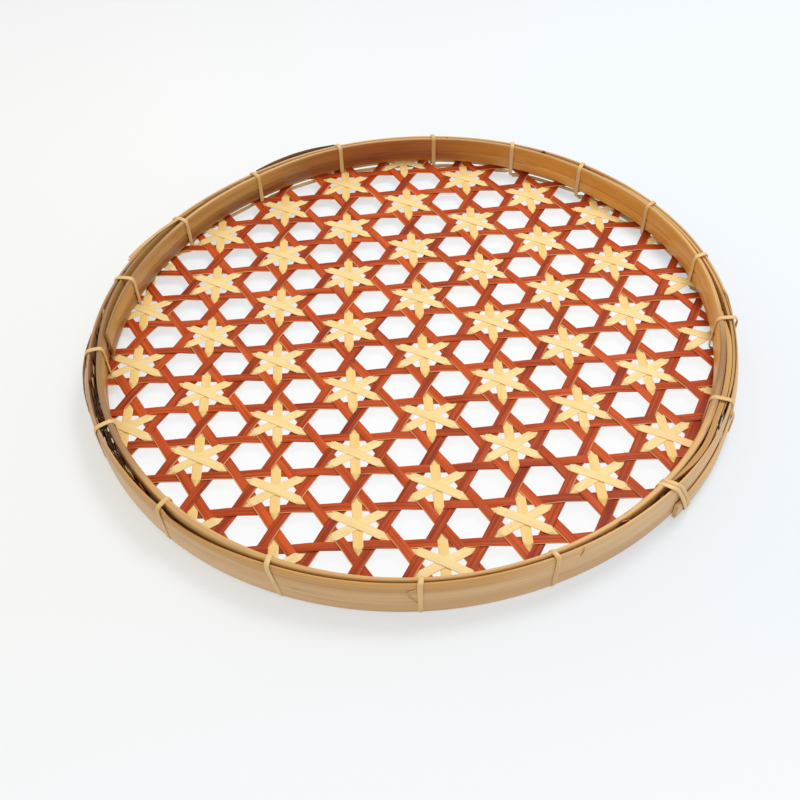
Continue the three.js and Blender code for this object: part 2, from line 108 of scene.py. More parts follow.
class Field:
    """A number in a node tree, so that a formula reads as plain arithmetic and becomes math nodes."""

    def __init__(self, tree, socket):
        self.tree = tree
        self.socket = socket

    def do(self, operation, *others):
        node = self.tree.nodes.new("ShaderNodeMath")
        node.operation = operation
        for place, value in enumerate((self, *others)):
            plug(self.tree, value, node.inputs[place])
        return Field(self.tree, node.outputs[0])

    def __add__(self, other):
        return self.do("ADD", other)

    def __sub__(self, other):
        return self.do("SUBTRACT", other)

    def __mul__(self, other):
        return self.do("MULTIPLY", other)

    def __truediv__(self, other):
        return self.do("DIVIDE", other)

    def __rsub__(self, other):
        return (self * -1) + other

    __radd__ = __add__
    __rmul__ = __mul__

    def between(self, low, high):
        return self.do("MAXIMUM", low).do("MINIMUM", high)

    def smooth(self, start, end):
        """0 at start, 1 at end, with a soft turn at both."""
        share = ((self - start) / (end - start)).between(0, 1)
        return share * share * (3 - 2 * share)


class BandTable:
    """Evenly spaced lengths along a band, joined by a smooth curve that numbers and node trees can read."""

    def __init__(self, name, millimetres, before=0, after=0):
        self.values = [value * mm for value in millimetres]
        self.steps = len(self.values) - 1 - before - after
        self.first = before / (len(self.values) - 1)
        self.reach = self.steps / (len(self.values) - 1)
        tree = bpy.data.node_groups.new(name, "GeometryNodeTree")
        self.mapping = self.drawn_in(tree).mapping

    def drawn_in(self, tree):
        node = tree.nodes.new("ShaderNodeFloatCurve")
        node.mapping.use_clip = False
        points = node.mapping.curves[0].points
        points[0].location = (0, self.values[0])
        points[1].location = (1, self.values[-1])
        for i, value in enumerate(self.values[1:-1], 1):
            points.new(i / (len(self.values) - 1), value)
        node.mapping.update()
        return node

    def at(self, share):
        """The length at a share of the band, from 0 to 1."""
        place = share * self.reach + self.first
        if not isinstance(share, Field):
            return self.mapping.evaluate(self.mapping.curves[0], place)
        node = self.drawn_in(share.tree)
        plug(share.tree, place, node.inputs["Value"])
        return Field(share.tree, node.outputs[0])


def plug(tree, value, socket):
    if isinstance(value, Field):
        tree.links.new(value.socket, socket)
    elif socket.type == "INT":
        socket.default_value = round(value)
    else:
        socket.default_value = value


def cosine(value):
    return value.do("COSINE") if isinstance(value, Field) else math.cos(value)


def fraction(value):
    return value.do("FRACT") if isinstance(value, Field) else value % 1


def vector_of(tree, x, y, z):
    node = tree.nodes.new("ShaderNodeCombineXYZ")
    for place, value in enumerate((x, y, z)):
        plug(tree, value, node.inputs[place])
    return Field(tree, node.outputs[0])


def parts_of(tree, vector):
    node = tree.nodes.new("ShaderNodeSeparateXYZ")
    tree.links.new(vector, node.inputs[0])
    return [Field(tree, output) for output in node.outputs]


def round_table(name, millimetres):
    """A table whose end joins its start, for lengths all round the rim."""
    return BandTable(name, millimetres[-2:] + millimetres + millimetres[:3], before=2, after=2)


wander_table = round_table("rim_wander", rim_wander)
dip_table = round_table("outer_dip", outer_dips)
lift_table = round_table("foot_lift", foot_lifts)
once_round = len(rim_wander)
gap_table = round_table("rim_gap", inner_gaps[:once_round])


def rim_offset(angle):
    """How far the rim lies outside a true circle."""
    return oval * cosine(2 * (angle - oval_turn * full_turn)) + wander_table.at(fraction(angle / full_turn))


def out_from_middle(tree, angle, reach, height):
    x = reach * cosine(angle) + rim_middle.x
    return vector_of(tree, x, reach * angle.do("SINE") + rim_middle.y, height)


def rim_place(tree, angle, radius, height):
    return out_from_middle(tree, angle, radius + rim_offset(angle), height)


def new_tree(name, numbers):
    """A node tree that starts from a piece's outline and has an input for each named number."""
    tree = bpy.data.node_groups.new(name, "GeometryNodeTree")
    tree.interface.new_socket("Outline", in_out="INPUT", socket_type="NodeSocketGeometry")
    for number in numbers:
        tree.interface.new_socket(number, in_out="INPUT", socket_type="NodeSocketFloat")
    tree.interface.new_socket("Material", in_out="INPUT", socket_type="NodeSocketMaterial")
    tree.interface.new_socket("Piece", in_out="OUTPUT", socket_type="NodeSocketGeometry")
    given = tree.nodes.new("NodeGroupInput")
    return tree, given, {number: Field(tree, given.outputs[number]) for number in numbers}


def straight_band(tree, given, start, end, step, shift):
    """The outline swept along X from start to end, with its place on the flat band kept for the grain."""
    line = tree.nodes.new("GeometryNodeCurvePrimitiveLine")
    plug(tree, vector_of(tree, start, 0, 0), line.inputs["Start"])
    plug(tree, vector_of(tree, end, 0, 0), line.inputs["End"])
    points = tree.nodes.new("GeometryNodeResampleCurve")
    points.mode = "COUNT"
    tree.links.new(line.outputs["Curve"], points.inputs["Curve"])
    plug(tree, (end - start) / step, points.inputs["Count"])
    outline = tree.nodes.new("GeometryNodeMeshToCurve")
    tree.links.new(given.outputs["Outline"], outline.inputs["Mesh"])
    sweep = tree.nodes.new("GeometryNodeCurveToMesh")
    sweep.inputs["Fill Caps"].default_value = True
    tree.links.new(points.outputs["Curve"], sweep.inputs["Curve"])
    tree.links.new(outline.outputs["Curve"], sweep.inputs["Profile Curve"])
    x, y, z = parts_of(tree, tree.nodes.new("GeometryNodeInputPosition").outputs[0])
    grain = vector_of(tree, x + shift, y, z).socket
    return keep_value(tree, sweep.outputs["Mesh"], "grain", "FLOAT_VECTOR", grain), x, y, z


def keep_value(tree, geometry, name, kind, value):
    """Keeps a value on each point, such as its place on the flat band for the material to read."""
    node = tree.nodes.new("GeometryNodeStoreNamedAttribute")
    node.data_type = kind
    node.inputs["Name"].default_value = name
    tree.links.new(geometry, node.inputs["Geometry"])
    tree.links.new(value, node.inputs["Value"])
    return node.outputs["Geometry"]


def end_tree(tree, given, mesh, place=None):
    """Moves the band's points to their places, and gives the piece its material."""
    if place:
        move = tree.nodes.new("GeometryNodeSetPosition")
        tree.links.new(mesh, move.inputs["Geometry"])
        plug(tree, place, move.inputs["Position"])
        mesh = move.outputs["Geometry"]
    smooth = tree.nodes.new("GeometryNodeSetShadeSmooth")
    tree.links.new(mesh, smooth.inputs["Geometry"])
    real = tree.nodes.new("GeometryNodeRealizeInstances")
    tree.links.new(smooth.outputs[0], real.inputs["Geometry"])
    paint = tree.nodes.new("GeometryNodeSetMaterial")
    tree.links.new(real.outputs[0], paint.inputs["Geometry"])
    tree.links.new(given.outputs["Material"], paint.inputs["Material"])
    out = tree.nodes.new("NodeGroupOutput")
    tree.links.new(paint.outputs[0], out.inputs["Piece"])


def press_into_rim(tree, flat_x, flat_y, lift):
    """Where a point of the flat mat comes to lie once the mat is dished and its edge turned up."""
    reach = (flat_x * flat_x + flat_y * flat_y).do("SQRT")
    angle = flat_y.do("ARCTAN2", flat_x)
    gap = gap_table.at(fraction((angle - inner_start) / full_turn))
    room = ((gap - 2 * wall_clearance) / (below_mat + above_mat)).between(0.1, 1)
    fold = rim_offset(angle) + (gap_outer_radius - wall_clearance - bend_radius) - below_mat * room
    pressed = 1 - (1 - room) * reach.smooth(fold - press_length, fold + press_length)
    past = (reach - fold).do("MAXIMUM", 0)
    turned = (past / bend_radius).do("MINIMUM", math.pi / 2)
    level = reach.do("MINIMUM", fold)
    climb = (past - bend_radius * math.pi / 2).do("MAXIMUM", 0)
    arm = bend_radius - lift * pressed
    radius = level + arm * turned.do("SINE")
    dish = level * level * (mat_rise / dish_radius ** 2) + mat_height
    height = dish + bend_radius - arm * cosine(turned) + climb
    return out_from_middle(tree, angle, radius, height)


def pulled_by_hand(x, y):
    """Where the maker's pull has drawn the even weave a little out of its true place."""
    toward_front_left = x * front_left_way.x + y * front_left_way.y
    sideways = 0
    for place, pull in side_pulls:
        away = ((x - place.x) * (x - place.x) + (y - place.y) * (y - place.y)).do("SQRT")
        sideways = (1 - away.smooth(0, side_pull_reach)) * pull + sideways
    return x + sideways, y + toward_front_left.smooth(*front_left_range) * front_left_pull


def way_frame(way):
    angle = way["turn"] * full_turn
    return Vector((math.cos(angle), math.sin(angle))), Vector((-math.sin(angle), math.cos(angle)))


def strip_end(way, offset, side, trim):
    """How far along a way a strip runs before its end, turned up between the hoops, is cut off."""
    along, across = way_frame(way)
    x = side * dish_radius
    for _ in range(dyed_count):
        place = along * x + across * offset
        angle = math.atan2(place.y, place.x)
        short = any(low < math.degrees(angle) < high for low, high in low_end_ranges)
        top = low_end_height if short else end_height
        climb = top + trim - mat_height - mat_rise - bend_radius
        wall = gap_outer_radius - bend_radius + rim_offset(angle) + bend_radius * math.pi / 2 + climb
        x = side * math.sqrt(max(wall * wall - offset * offset, 0))
    return x


def rounded_outline(corners, radius, steps):
    """A closed outline with each corner turned into a short arc, as (across, up) points."""
    outline = []
    for i, corner in enumerate(corners):
        here = Vector(corner)
        before = Vector(corners[i - 1]) - here
        after = Vector(corners[(i + 1) % len(corners)]) - here
        start = here + before.normalized() * min(radius, before.length / 2)
        end = here + after.normalized() * min(radius, after.length / 2)
        for step in range(steps + 1):
            share = step / steps
            outline.append(start * (1 - share) ** 2 + here * 2 * share * (1 - share) + end * share ** 2)
    return outline


def strip_outline(width, thickness, edge_round, parts):
    """The flat section of a strip, with extra points across it so that it can bend."""
    half = Vector((width, thickness)) / 2
    corners = [(-half.x, -half.y), (half.x, -half.y), (half.x, half.y), (-half.x, half.y)]
    outline = rounded_outline(corners, edge_round, 1)
    bottom = [Vector((half.x * (2 * i / parts - 1), -half.y)) for i in range(1, parts)]
    top = [Vector((-point.x, half.y)) for point in bottom]
    return outline[:2] + bottom + outline[2:6] + top + outline[6:]


def outline_mesh(name, outline):
    """The closed line of edges that a tree sweeps along a band."""
    mesh = bpy.data.meshes.new(name)
    edges = [(i, (i + 1) % len(outline)) for i in range(len(outline))]
    mesh.from_pydata([(-across, -up, 0) for across, up in outline], edges, [])
    return mesh


def make_piece(name, mesh, tree, numbers, material, node):
    """Runs the tree on the edges, keeps what it makes as a plain mesh, and puts it in its node's place."""
    piece = bpy.data.objects.new(name, mesh)
    bpy.context.scene.collection.objects.link(piece)
    modifier = piece.modifiers.new(tree.name, "NODES")
    modifier.node_group = tree
    for item in tree.interface.items_tree:
        if item.name == "Material":
            modifier[item.identifier] = material
        elif item.name in numbers:
            modifier[item.identifier] = float(numbers[item.name])
    shaped = piece.evaluated_get(bpy.context.evaluated_depsgraph_get())
    finished = bpy.data.meshes.new_from_object(shaped)
    piece.modifiers.clear()
    piece.data = finished
    finished.set_sharp_from_angle(angle=sharp_turn)
    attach(piece, "root")
    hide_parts(node)


def linear(red, green, blue):
    """A colour as it looks, in shares of 255, as the shader's linear light."""
    shares = [value / 255 for value in (red, green, blue)]
    return [s / 12.92 if s <= 0.04045 else ((s + 0.055) / 1.055) ** 2.4 for s in shares] + [1]


def new_material(name, roughness):
    material = bpy.data.materials.new(name)
    material.use_nodes = True
    shader = material.node_tree.nodes["Principled BSDF"]
    shader.inputs["Roughness"].default_value = roughness
    return material, material.node_tree, shader


def band_place(tree):
    """The place on the flat band: along, across and through it."""
    place = tree.nodes.new("ShaderNodeAttribute")
    place.attribute_name = "grain"
    return place.outputs["Vector"]


def tray_place(tree):
    """Where a point lies on the tray: to the right, to the back and up."""
    return parts_of(tree, tree.nodes.new("ShaderNodeTexCoord").outputs["Object"])


def noise(tree, place, along, across, detail):
    """Noise with so many waves to the metre along a band and across it, from 0 to 1."""
    stretch = tree.nodes.new("ShaderNodeVectorMath")
    stretch.operation = "MULTIPLY"
    stretch.inputs[1].default_value = (along, across, across)
    tree.links.new(place, stretch.inputs[0])
    texture = tree.nodes.new("ShaderNodeTexNoise")
    texture.inputs["Scale"].default_value = 1
    texture.inputs["Detail"].default_value = detail
    tree.links.new(stretch.outputs[0], texture.inputs["Vector"])
    return Field(tree, texture.outputs["Fac"])


def mix(tree, share, first, second):
    """A colour between two, each a list or a socket."""
    node = tree.nodes.new("ShaderNodeMix")
    node.data_type = "RGBA"
    plug(tree, share, node.inputs["Factor"])
    places = [socket for socket in node.inputs if socket.type == "RGBA"]
    for value, place in zip((first, second), places):
        if isinstance(value, list):
            place.default_value = value
        else:
            tree.links.new(value, place)
    return next(socket for socket in node.outputs if socket.type == "RGBA")


def bump(tree, shader, height, distance):
    node = tree.nodes.new("ShaderNodeBump")
    node.inputs["Distance"].default_value = distance
    plug(tree, height, node.inputs["Height"])
    tree.links.new(node.outputs["Normal"], shader.inputs["Normal"])


def dyed_material(name, hue, worn_side):
    """Dye that took unevenly along the fibres, worn pale along one edge, under a low gloss, and painted shade on
    the strip ends turned up between the hoops.
    """
    material, tree, shader = new_material(name, 0.4)
    shader.inputs["Specular IOR Level"].default_value = 0.14
    place = band_place(tree)
    _, across, _ = parts_of(tree, place)
    blotch = noise(tree, place, 18, 60, 2).smooth(0.32, 0.68)
    streak = noise(tree, place, 7, 640, 2).smooth(0.38, 0.62)
    fibre = noise(tree, place, 30, 3600, 2)
    crimson = linear(138, 46, 22)
    orange = linear(212, 90, 34)
    dye = mix(tree, (blotch * 0.45 + streak * 0.4 + hue * 0.6 - 0.2).between(0, 1), crimson, orange)
    dye = mix(tree, fibre.smooth(0.55, 0.75) * 0.45, dye, linear(112, 34, 14))
    # Painted shade: the strip ends darken from 11 to 15 mm up, where they stand in the shaded gap between the
    # hoops.
    dye = mix(tree, tray_place(tree)[2].smooth(11 * mm, 15 * mm) * 0.75, dye, linear(84, 40, 24))
    edge = (across * worn_side).smooth(dyed_width / 2 - 0.7 * mm, dyed_width / 2 - 0.35 * mm)
    worn = edge * noise(tree, place, 12, 40, 1).smooth(0.44, 0.56)
    tree.links.new(mix(tree, worn * 0.85, dye, linear(236, 172, 118)), shader.inputs["Base Color"])
    bump(tree, shader, fibre * 0.6 + streak, 0.08 * mm)
    return material


def lay_in_mat(tree, numbers, x, side, lift):
    """Turns a point of a straight strip onto its line in the mat, and presses it into the rim."""
    sine = numbers["Angle"].do("SINE")
    turn = cosine(numbers["Angle"])
    away = side + numbers["Offset"]
    return press_into_rim(tree, *pulled_by_hand(turn * x - sine * away, sine * x + turn * away), lift)


strip_numbers = ["Start", "End", "Angle", "Offset", "Shift"]
dyed_tree, given, numbers = new_tree("dyed_strip", strip_numbers + ["Breadth", "Crest place", "Crest"])
mesh, x, y, z = straight_band(dyed_tree, given, numbers["Start"], numbers["End"], dyed_step,
                              numbers["Shift"])
wave = cosine((x - numbers["Crest place"]) * (math.pi / crossing_pitch)) * numbers["Crest"]
end_tree(dyed_tree, given, mesh, lay_in_mat(dyed_tree, numbers, x, y * numbers["Breadth"], wave + z))

# The last strip at the right is a broad one
broad_strips = {("dyed_b", 0): 1.25}

dyed_outline = strip_outline(dyed_width, dyed_thickness, dyed_edge_round, 4)


def dyed_offset(way, line):
    return way_frame(way)[1].dot(star_place) + (line + 1 / 2) * weave_pitch


def trim_of(number):
    """A small difference in length between strip ends, which a knife leaves."""
    return end_spread * math.sin(number * 2.4)


for index, way in enumerate(dyed_ways):
    along, across = way_frame(way)
    over = dyed_ways[way["over"]]
    over_across = way_frame(over)[1]
    material = dyed_material("dye_" + way["name"][-1], way["hue"], way["worn side"])
    for line in range(dyed_count):
        offset = dyed_offset(way, way["first"] + line)
        crest = (dyed_offset(over, 0) - offset * over_across.dot(across)) / over_across.dot(along)
        number = index * dyed_count + line
        strip = {
            "Start": strip_end(way, offset, -1, trim_of(number)),
            "End": strip_end(way, offset, 1, trim_of(number + 1 / 2)),
            "Angle": way["turn"] * full_turn,
            "Offset": offset,
            "Shift": number,
            "Breadth": broad_strips.get((way["name"], line), 1),
            "Crest place": crest,
            "Crest": dyed_crest,
        }
        node = f"{way['name']}_{line + 1:02d}"
        name = node.replace("dyed", "strip")
        make_piece(name, outline_mesh(name, dyed_outline), dyed_tree, strip, material,
                   node)

# Natural weaving strips
# Undyed split bamboo, thinner and narrower, in three ways through the middles of the hexagons.
# Three cross over each star; beyond the red strips beside it they tuck down under the next crossing.
natural_width = 5.8 * mm
natural_thickness = 0.3 * mm
natural_edge_round = 0.08 * mm
natural_step = 0.8 * mm
natural_count = 8
natural_over = 0.54 * mm
natural_under = 0.78 * mm
natural_layer = 0.33 * mm
natural_waist = 0.4 * mm
waist_ease = 1 * mm
tuck_point = 0.01 * mm
tuck_start = (weave_pitch + dyed_width) / 2 - 0.7 * mm
tuck_end = weave_pitch - dyed_width
natural_ways = [
    {"name": "natural_v", "turn": 1 / 4, "first": -4, "tone": 0.85},
    {"name": "natural_q", "turn": 1 / 12, "first": -3, "tone": 0.25},
    {"name": "natural_p", "turn": 5 / 12, "first": -5, "tone": 0.3},
]
joined_stars = [[2, 0, 2], [1, 1, 0], [0, 2, -2], [-1, 3, -4], [-2, -3, 1], [-3, -2, -1], [-4, -1, -3]]

natural_tree, given, numbers = new_tree("natural_strip", strip_numbers + ["Star place", "Layer"])
mesh, x, y, z = straight_band(natural_tree, given, numbers["Start"], numbers["End"], natural_step,
                              numbers["Shift"])
from_star = (x - numbers["Star place"]).do("PINGPONG", weave_pitch)
waist = from_star.smooth(tuck_start - waist_ease, tuck_start + waist_ease)
waist = waist - from_star.smooth(tuck_end, tuck_end + 2 * waist_ease)
side = y * (1 - waist * (2 * natural_waist / natural_width))
before = (from_star - tuck_start).do("MAXIMUM", 0)
beyond = (tuck_end - from_star - side.do("ABSOLUTE") * root3).do("MAXIMUM", 0)
tucked = (before / (before + beyond + tuck_point)).smooth(0, 1)
stacked = numbers["Layer"] * natural_layer * (1 - from_star.smooth(0, tuck_start))
lift = natural_over - tucked * (natural_over + natural_under) + stacked + z
end_tree(natural_tree, given, mesh, lay_in_mat(natural_tree, numbers, x, side, lift))

natural_outline = strip_outline(natural_width, natural_thickness, natural_edge_round, 6)


def natural_material(name, tone):
    """Pale straw yellow, with fine lengthwise fibres and a slight golden drift along the strip."""
    material, tree, shader = new_material(name, 0.5)
    place = band_place(tree)
    drift = noise(tree, place, 18, 120, 2).smooth(0.3, 0.7)
    fibre = noise(tree, place, 25, 2600, 3)
    share = (drift * 0.35 + tone * 0.7).between(0, 1)
    straw = mix(tree, share, linear(248, 224, 166), linear(238, 198, 114))
    straw = mix(tree, fibre.smooth(0.5, 0.85) * 0.5, straw, linear(214, 160, 84))
    tree.links.new(straw, shader.inputs["Base Color"])
    bump(tree, shader, fibre, 0.04 * mm)
    return material


def natural_offset(way, line):
    return way_frame(way)[1].dot(star_place) + line * root3 * weave_pitch


for index, way in enumerate(natural_ways):
    along, _ = way_frame(way)
    material = natural_material("straw_" + way["name"][-1], way["tone"])
    for line in range(way["first"], way["first"] + natural_count):
        offset = natural_offset(way, line)
        number = index * natural_count + line
        strip = {
            "Start": strip_end(way, offset, -1, trim_of(number)),
            "End": strip_end(way, offset, 1, trim_of(number + 1 / 2)),
            "Angle": way["turn"] * full_turn,
            "Offset": offset,
            "Shift": number + dyed_count,
            "Star place": along.dot(star_place) + line * weave_pitch,
            "Layer": index,
        }
        stars = [i + 1 for i, lines in enumerate(joined_stars) if lines[index] == line]
        node = f"natural_star_{stars[0]}" if stars else way["name"] + "_strip"
        name = f"straw_{way['name'][-1]}_{line - way['first'] + 1}"
        make_piece(name, outline_mesh(name, natural_outline), natural_tree, strip, material,
                   node)

# Outer hoop
# One broad bamboo band, bent round with its skin outwards, its shaved start lapped at the front right.
# Its long end rises over the start and is cut lower than the rim, where the double tie holds it.
hoop_foot = 1.3 * mm
hoop_top = 27.8 * mm
outer_thickness = 2.6 * mm
outer_start = 0
lap_angle = math.radians(48)
shoulder_angle = math.radians(1.8)
scarf_thickness = 0.9 * mm
scarf_clearance = 0.3 * mm
lap_rise = 2.6 * mm
lap_drop = 14.5 * mm
hoop_step = 3 * mm
hoop_length = (full_turn + lap_angle) * tray_radius
outer_shares = [(0, 0), (0.75, 0), (0.95, 0.05), (1, 0.5), (0.95, 0.9), (0.55, 1), (0.12, 1), (0, 0.95)]
outer_edge_round = 0.8 * mm

# Beside the tie at the front left its top edge is split off, and runs out again after a hand's breadth
chip_start = 223.9 / 360
chip_end = 247 / 360
chip_depth = 4.2 * mm
chip_break = 0.004

outer_tree, given, numbers = new_tree("outer_hoop", ["Start", "Shift"])
mesh, x, y, z = straight_band(outer_tree, given, 0, hoop_length, hoop_step, numbers["Shift"])
turned = x / tray_radius
lapped = ((turned - full_turn) / lap_angle).do("MAXIMUM", 0)
risen = turned.smooth(full_turn - shoulder_angle, full_turn)
single = (turned / lap_angle).do("MINIMUM", 1) * (outer_thickness - scarf_thickness) + scarf_thickness
near = risen * (lapped * (outer_thickness - scarf_thickness) + scarf_thickness + scarf_clearance)
far = single + risen * (outer_thickness - single + lapped * (lap_rise + scarf_clearance))
radius = near + y / outer_thickness * (far - near) + gap_outer_radius
cut_down = lapped * (2 - lapped) * (lap_drop / (hoop_top - hoop_foot))
angle = numbers["Start"] - turned
round_share = fraction(angle / full_turn)
chipped = round_share.smooth(chip_start, chip_start + chip_break)
chipped = chipped * (1 - round_share.smooth(chip_start + chip_break, chip_end))
dip = dip_table.at(round_share) + chipped * chip_depth
up = (z - hoop_foot) / (hoop_top - hoop_foot)
height = z - (z - hoop_foot) * cut_down - up * dip + (1 - up) * lift_table.at(round_share)
end_tree(outer_tree, given, mesh, rim_place(outer_tree, angle, radius, height))


def hoop_outline(shares, thickness, foot, top, edge_round):
    corners = [(u * thickness, foot + v * (top - foot)) for u, v in shares]
    return rounded_outline(corners, edge_round, 3)


def bamboo_material(name, tones, dark, roughness):
    """Bamboo skin: long fibres, darker drifts along the band, and a few dark scratches."""
    material, tree, shader = new_material(name, roughness)
    place = band_place(tree)
    drift = noise(tree, place, 4, 60, 3).smooth(0.3, 0.7)
    fibre = noise(tree, place, 14, 2200, 4)
    scratch = noise(tree, place, 30, 900, 2).smooth(0.66, 0.74)
    colour = mix(tree, drift, *tones(tree))
    colour = mix(tree, fibre.smooth(0.45, 0.85) * 0.55, colour, dark)
    colour = mix(tree, scratch * 0.45, colour, dark)
    tree.links.new(colour, shader.inputs["Base Color"])
    bump(tree, shader, fibre, 0.12 * mm)
    return material


def outer_tones(tree):
    """Straw skin, ochre along the top at the front left, greyer and darker towards the left."""
    right, back, up = tray_place(tree)
    front = 1 - back.smooth(-0.12, -0.06)
    ochre = up.smooth(19 * mm, 22.5 * mm) * (1 - right.smooth(0.02, 0.09)) * front * 0.8
    # Greyer and darker towards the left of the tray.
    greyer_at_left = (1 - right.smooth(-0.195, -0.165)) * 0.7
    light = mix(tree, ochre, linear(228, 188, 134), linear(206, 152, 78))
    deep = mix(tree, ochre, linear(210, 166, 112), linear(184, 130, 60))
    return mix(tree, greyer_at_left, light, linear(202, 160, 120)), mix(tree, greyer_at_left, deep, linear(150, 112, 78))


outer_material = bamboo_material("bamboo_skin", outer_tones, linear(142, 96, 54), 0.42)
outer_outline = hoop_outline(outer_shares, outer_thickness, hoop_foot, hoop_top, outer_edge_round)
make_piece("rim_outer_band", outline_mesh("rim_outer_band", outer_outline), outer_tree,
           {"Start": outer_start, "Shift": 3}, outer_material, "outer_hoop")

# Inner hoop
# A narrower bamboo band with a groove along its inner face, bent round inside the turned-up mat.
# Its foot stands just over the mat, its thin ends lap at the left, and the gap behind it comes and goes.
inner_thickness = 3 * mm
inner_foot = 8.5 * mm
inner_shares = [
    (1, 0), (1, 0.97), (0.8, 1), (0.25, 1), (0, 0.86), (0, 0.5), (0.28, 0.42), (0.05, 0.34), (0.15, 0),
]
inner_edge_round = 0.7 * mm
inner_thicknesses = [
    0.9, 1.95, 2.79, 3.4, 3.9, 4.2, 3.4, 2.31, 2.3, 3.21, 3.9, 4.6,
    4, 3.21, 3.21, 3, 2.49, 2.4, 2.49, 2.79, 3, 2.91, 2.1, 0.9,
]
inner_lap = math.radians(43)
inner_length = (full_turn + inner_lap) * tray_radius
inner_rise = 0.6 * mm
table_turn = math.radians(18) * (len(inner_gaps) - 1)
inner_gap_table = BandTable("inner_gap", inner_gaps)
inner_thickness_table = BandTable("inner_thickness", inner_thicknesses)


def wall_depth(turned):
    """How far the inner hoop's face lies inside the outer hoop, after so much turn from its start."""
    share = turned / table_turn
    return inner_gap_table.at(share), inner_thickness_table.at(share)


inner_tree, given, numbers = new_tree("inner_hoop", ["Start", "Shift"])
mesh, x, y, z = straight_band(inner_tree, given, 0, inner_length, hoop_step, numbers["Shift"])
turned = x / tray_radius
gap, thickness = wall_depth(turned)
depth = (1 - y / inner_thickness) * thickness + gap
angle = numbers["Start"] + turned
proud = (1 - angle.do("SINE").smooth(-0.6, 0)) * inner_rise
height = z + (z - inner_foot) / (hoop_top - inner_foot) * proud
end_tree(inner_tree, given, mesh, rim_place(inner_tree, angle, gap_outer_radius - depth, height))


def inner_tones(tree):
    """Khaki at the left, red-brown at the back and honey at the right, with painted shade along the groove, a
    pale top that is greyer at the far left and front right, and painted light on the upper faces at the front.
    """
    right, back, up = tray_place(tree)
    khaki = 1 - right.smooth(-0.11, -0.01)
    honey = right.smooth(0, 0.13)
    # Painted shade: a darker red-brown band in and below the groove, 9 to 18 mm up, left out at the right.
    groove_shade = up.smooth(9 * mm, 12 * mm) * (1 - up.smooth(15 * mm, 18 * mm)) * (1 - honey) * 0.55
    # A pale top edge. At the front the faces from 20 mm up are painted pale as well, which is painted light
    # where the gap shades them.
    edge = up.smooth(hoop_top - 1.1 * mm, hoop_top - 0.4 * mm)
    edge = (edge + up.smooth(20 * mm, 22 * mm) * (1 - back.smooth(-0.1, -0.04))).do("MINIMUM", 0.9)
    light = mix(tree, honey, linear(188, 112, 42), linear(246, 190, 94))
    deep = mix(tree, honey, linear(152, 78, 26), linear(222, 152, 58))
    light = mix(tree, khaki, light, linear(212, 166, 92))
    deep = mix(tree, khaki, deep, linear(168, 120, 56))
    light = mix(tree, groove_shade, light, linear(132, 60, 24))
    deep = mix(tree, groove_shade, deep, linear(112, 46, 20))
    # The pale top is greyer and darker at the far left and at the front right.
    greyer_top = 1 - right.smooth(-0.18, -0.14) + right.smooth(0.15, 0.18) * (1 - back.smooth(-0.05, 0))
    light_edge = mix(tree, greyer_top, linear(222, 178, 116), linear(178, 142, 94))
    deep_edge = mix(tree, greyer_top, linear(214, 168, 106), linear(140, 104, 70))
    return mix(tree, edge, light, light_edge), mix(tree, edge, deep, deep_edge)


inner_material = bamboo_material("bamboo_amber", inner_tones, linear(112, 58, 20), 0.4)
inner_outline = hoop_outline(inner_shares, inner_thickness, inner_foot, hoop_top, inner_edge_round)
make_piece("rim_inner_band", outline_mesh("rim_inner_band", inner_outline), inner_tree,
           {"Start": inner_start, "Shift": 11}, inner_material, "inner_hoop")

# Rim splints
# A thick and a thin splint of split bamboo, side by side in the gap on top of the mat's turned-up edge.
# They fill the rim at the right, where the gap is widest, and the lashing holds them down.
splint_thicknesses = [3.2 * mm, 1.6 * mm]
splint_height = 6 * mm
splint_clearance = 0.3 * mm
splint_top = hoop_top - 0.8 * mm
splint_spans = [(-49, -4), (-30, 42)]
splint_taper = 30 * mm
splint_tip_share = 0.3
splint_edge_round = 0.35 * mm
splint_step = 2 * mm

splint_tree, given, numbers = new_tree("rim_splint", ["Start", "End", "Inner radius", "Step in", "Shift"])
start = numbers["Start"] * tray_radius
end = numbers["End"] * tray_radius
mesh, x, y, z = straight_band(splint_tree, given, start, end, splint_step, numbers["Shift"])
from_tip = (x - start).do("MINIMUM", end - x)
slim = splint_tip_share + (1 - splint_tip_share) * from_tip.smooth(0, splint_taper)
other_start = math.radians(splint_spans[1][0]) * tray_radius
stepped = x.smooth(other_start - splint_taper, other_start) * numbers["Step in"]
radius = numbers["Inner radius"] - stepped + y * slim
height = splint_top - (splint_top - z) * slim
end_tree(splint_tree, given, mesh, rim_place(splint_tree, x / tray_radius, radius, height))

splint_colours = [(linear(206, 160, 88), linear(176, 124, 62)), (linear(222, 180, 108), linear(196, 148, 76))]
splint_dark = linear(110, 66, 34)
splint_foot = splint_top - splint_height
for index, (first, last) in enumerate(splint_spans):
    thickness = splint_thicknesses[index]
    splint_corners = [(0, splint_foot), (thickness, splint_foot), (thickness, splint_top), (0, splint_top)]
    splint_outline = rounded_outline(splint_corners, splint_edge_round, 2)
    material = bamboo_material(f"split_bamboo_{index + 1}", lambda tree: splint_colours[index], splint_dark, 0.5)
    splint = {"Start": math.radians(first), "End": math.radians(last),
              "Inner radius": gap_outer_radius - splint_clearance - thickness,
              "Step in": 0 if index else splint_thicknesses[1] + splint_clearance, "Shift": 17 + index}
    name = f"rim_inset_{index + 1}"
    make_piece(name, outline_mesh(name, splint_outline), splint_tree, splint, material,
               f"rim_splint_{index + 1}")

# Lashing
# One long flat strand of split cane, wound round both hoops at each tie and led on outside the mat.
# It starts and ends at the double tie at the front right, where its ends are tucked under the mat.
lashing_width = 3 * mm
lashing_thickness = 1 * mm
lashing_corner = 4 * mm
corner_steps = 6
crown = 0.16
lashing_lead = 9 * mm
lashing_tail = 7 * mm
strand_run = 196.33 * mm
strand_top = 28.6 * mm
strand_sink = 0.5 * mm
strand_foot = 1 * mm
run_level = 3 * mm
run_step = 6 * mm

